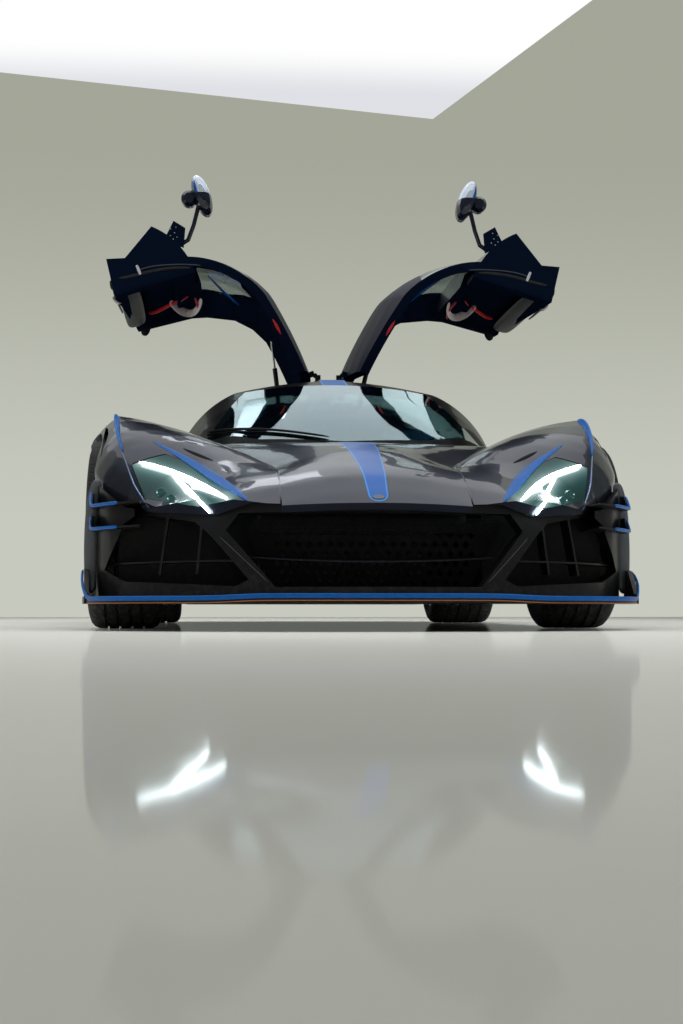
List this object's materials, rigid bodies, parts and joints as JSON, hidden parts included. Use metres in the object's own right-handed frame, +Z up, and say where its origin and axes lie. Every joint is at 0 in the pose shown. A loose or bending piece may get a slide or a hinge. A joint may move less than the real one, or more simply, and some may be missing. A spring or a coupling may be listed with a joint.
{
  "type": "mid-engined sports car with upward-opening doors",
  "caption": "Low mid-engined sports car, both doors swung up, with splitter, twin-fork lamps, hollow cabin, steered front wheels, rear wing and a lifting engine cover.",
  "frame": {"origin": "on the ground, on the centre plane, midway along the length of the car", "axes": "+X to the left side of the car, -Y towards its nose, +Z up"},
  "size_m": [2.0256, 4.84, 1.8864],
  "materials": {
    "black_matte": "matt black",
    "carbon": "gloss black composite",
    "glass_clear": "clear lamp lens",
    "glass_dark": "tinted glass",
    "lamp_red": "red lens",
    "leather_light": "pale leather",
    "mesh_metal": "dark mesh",
    "paint_dark": "deep blue-black metallic clearcoat",
    "rim_metal": "dark satin alloy",
    "rubber_tyre": "tyre rubber",
    "steel": "machined steel",
    "steel_exhaust": "heat-tinted steel"
  },
  "bodies": {
    "body": {"tub": "carbon", "cabin_frame": "carbon", "windscreen": "glass_dark", "bonnet": "paint_dark", "fender_left": "paint_dark", "fender_right": "paint_dark", "headlamps": "glass_clear", "front_bumper": "carbon", "grille": "mesh_metal", "splitter": "carbon", "dive_planes": "carbon", "side_skirts": "carbon", "rear_quarter_left": "paint_dark", "rear_quarter_right": "paint_dark", "tail_panel": "carbon", "tail_lamp": "lamp_red", "diffuser": "black_matte", "exhaust": "steel_exhaust", "rear_wing": "carbon", "underfloor": "black_matte", "engine": "black_matte", "seats": "leather_light", "dashboard": "black_matte", "steering_wheel": "black_matte", "front_suspension": "steel", "rear_suspension": "steel"},
    "door_left": {"door_left": "paint_dark", "door_glass_left": "glass_dark", "mirror_left": "paint_dark"},
    "door_right": {"door_right": "paint_dark", "door_glass_right": "glass_dark", "mirror_right": "paint_dark"},
    "strut_barrel_left": {"strut_barrel_left": "black_matte"},
    "strut_barrel_right": {"strut_barrel_right": "black_matte"},
    "strut_rod_left": {"strut_rod_left": "steel"},
    "strut_rod_right": {"strut_rod_right": "steel"},
    "engine_cover": {"engine_cover": "paint_dark"},
    "knuckle_left": {"knuckle_left": "steel"},
    "knuckle_right": {"knuckle_right": "steel"},
    "wheel_front_left": {"tyre_front_left": "rubber_tyre", "rim_front_left": "rim_metal"},
    "wheel_front_right": {"tyre_front_right": "rubber_tyre", "rim_front_right": "rim_metal"},
    "wheel_rear_left": {"tyre_rear_left": "rubber_tyre", "rim_rear_left": "rim_metal"},
    "wheel_rear_right": {"tyre_rear_right": "rubber_tyre", "rim_rear_right": "rim_metal"}
  },
  "joints": [
    {"name": "door_hinge_left", "type": "hinge", "parent": "body", "child": "door_left", "pos_m": [0.058, 0, 1.104], "axis": [0, 1, 0], "range_deg": [0, 71]},
    {"name": "strut_pivot_left", "type": "hinge", "parent": "body", "child": "strut_barrel_left", "pos_m": [0.17, 0.455, 0.93], "axis": [0.8674, 0.4378, 0.2364], "range_deg": [0, 38.97]},
    {"name": "strut_slide_left", "type": "slide", "parent": "strut_barrel_left", "child": "strut_rod_left", "axis": [0.1316, -0.6602, 0.7395], "range_m": [-0.1438, 0]},
    {"name": "door_hinge_right", "type": "hinge", "parent": "body", "child": "door_right", "pos_m": [-0.058, 0, 1.104], "axis": [0, -1, 0], "range_deg": [0, 71]},
    {"name": "strut_pivot_right", "type": "hinge", "parent": "body", "child": "strut_barrel_right", "pos_m": [-0.17, 0.455, 0.93], "axis": [0.8674, -0.4378, -0.2364], "range_deg": [0, 38.97]},
    {"name": "strut_slide_right", "type": "slide", "parent": "strut_barrel_right", "child": "strut_rod_right", "axis": [-0.1316, -0.6602, 0.7395], "range_m": [-0.1438, 0]},
    {"name": "engine_cover_hinge", "type": "hinge", "parent": "body", "child": "engine_cover", "pos_m": [0, 0.527, 1.064], "axis": [1, 0, 0], "range_deg": [0, 55]},
    {"name": "steer_left", "type": "hinge", "parent": "body", "child": "knuckle_left", "pos_m": [0.785, -1.34, 0.345], "axis": [0, 0, 1], "range_deg": [-26, 26]},
    {"name": "steer_right", "type": "hinge", "parent": "body", "child": "knuckle_right", "pos_m": [-0.785, -1.34, 0.345], "axis": [0, 0, 1], "range_deg": [-26, 26]},
    {"name": "wheel_front_left_spin", "type": "hinge", "parent": "knuckle_left", "child": "wheel_front_left", "pos_m": [0.825, -1.34, 0.345], "axis": [1, 0, 0], "continuous": true},
    {"name": "wheel_front_right_spin", "type": "hinge", "parent": "knuckle_right", "child": "wheel_front_right", "pos_m": [-0.825, -1.34, 0.345], "axis": [1, 0, 0], "continuous": true},
    {"name": "wheel_rear_left_spin", "type": "hinge", "parent": "body", "child": "wheel_rear_left", "pos_m": [0.83, 1.41, 0.362], "axis": [1, 0, 0], "continuous": true},
    {"name": "wheel_rear_right_spin", "type": "hinge", "parent": "body", "child": "wheel_rear_right", "pos_m": [-0.83, 1.41, 0.362], "axis": [1, 0, 0], "continuous": true}
  ],
  "couplings": [
    {"joint": "strut_pivot_left", "follows": "door_hinge_left", "ratio": 0.54184},
    {"joint": "strut_slide_left", "follows": "door_hinge_left", "m_per_rad": -0.11443},
    {"joint": "strut_pivot_right", "follows": "door_hinge_right", "ratio": 0.54184},
    {"joint": "strut_slide_right", "follows": "door_hinge_right", "m_per_rad": -0.11443},
    {"joint": "steer_right", "follows": "steer_left", "ratio": 1}
  ]
}
